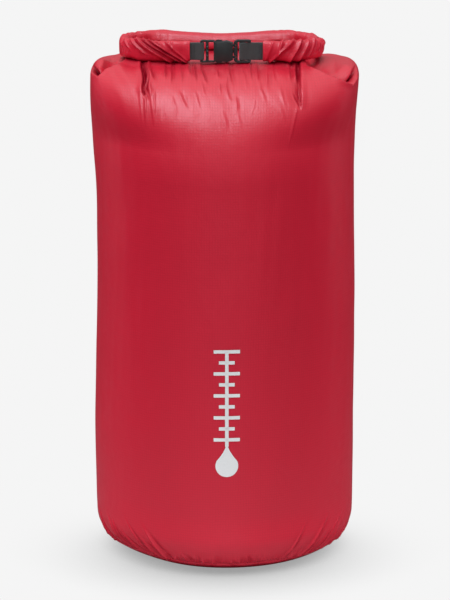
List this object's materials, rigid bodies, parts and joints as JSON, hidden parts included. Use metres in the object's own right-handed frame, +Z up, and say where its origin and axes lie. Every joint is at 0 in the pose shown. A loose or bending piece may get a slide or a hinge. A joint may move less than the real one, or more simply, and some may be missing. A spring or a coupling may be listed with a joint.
{
  "type": "roll-top dry bag",
  "caption": "Filled cylindrical waterproof fabric bag whose rolled-down mouth is clipped into a carry loop by a side-release buckle.",
  "frame": {"origin": "centre of the round base, on the surface the bag stands on", "axes": "+Z up the bag towards the roll; the buckle faces -Y; the buckle's plug is on the +X side"},
  "size_m": [0.3072, 0.3031, 0.6014],
  "materials": {
    "bag_cloth": "coated ripstop nylon, satin, fine square grid",
    "base_cloth": "coated ripstop nylon, satin",
    "rolled_cloth": "coated ripstop nylon, rolled and creased",
    "seam_tape": "heat-bonded waterproof tape, smooth",
    "strip_plastic": "flexible extruded strip",
    "webbing": "20 mm woven strap, dark grey",
    "thread": "bonded sewing thread",
    "buckle_plastic": "satin moulded acetal",
    "print_ink": "screen-printed ink, thin and matte"
  },
  "bodies": {
    "bag": {"body_panel": "bag_cloth", "base_panel": "base_cloth", "base_seam_tape": "seam_tape", "rear_seam_tape": "seam_tape", "rear_seam_lap": "bag_cloth", "printed_mark": "print_ink", "collar_rear": "rolled_cloth", "stiffener_rear": "strip_plastic"},
    "carry_loop": {"collar_left": "rolled_cloth", "stiffener_left": "strip_plastic", "collar_right": "rolled_cloth", "stiffener_right": "strip_plastic", "collar_right_end": "rolled_cloth", "stiffener_right_end": "strip_plastic", "webbing_left": "webbing", "bar_tack_left": "thread", "buckle_socket": "buckle_plastic"},
    "plug_half": {"webbing_right": "webbing", "bar_tack_right": "thread", "buckle_plug": "buckle_plastic"},
    "upper_prong": {"prong_upper": "buckle_plastic"},
    "lower_prong": {"prong_lower": "buckle_plastic"}
  },
  "joints": [
    {"name": "handle_lift", "type": "hinge", "parent": "bag", "child": "carry_loop", "pos_m": [-0.004, 0.038, 0.5882], "axis": [-1, 0, 0], "range_deg": [0, 90]},
    {"name": "buckle_release", "type": "slide", "parent": "carry_loop", "child": "plug_half", "axis": [1, 0, 0], "range_m": [0, 0.02], "deforming": ["collar_right_end", "stiffener_right_end"]},
    {"name": "upper_prong_squeeze", "type": "hinge", "parent": "plug_half", "child": "upper_prong", "pos_m": [0.011, -0.046, 0.5948], "axis": [0, -1, 0], "range_deg": [0, 23], "stiffness_Nm_per_rad": 0.02},
    {"name": "lower_prong_squeeze", "type": "hinge", "parent": "plug_half", "child": "lower_prong", "pos_m": [0.011, -0.046, 0.5816], "axis": [0, 1, 0], "range_deg": [0, 23], "stiffness_Nm_per_rad": 0.02}
  ],
  "couplings": [
    {"joint": "upper_prong_squeeze", "follows": "buckle_release", "rad_per_m": 20},
    {"joint": "lower_prong_squeeze", "follows": "buckle_release", "rad_per_m": 20}
  ]
}
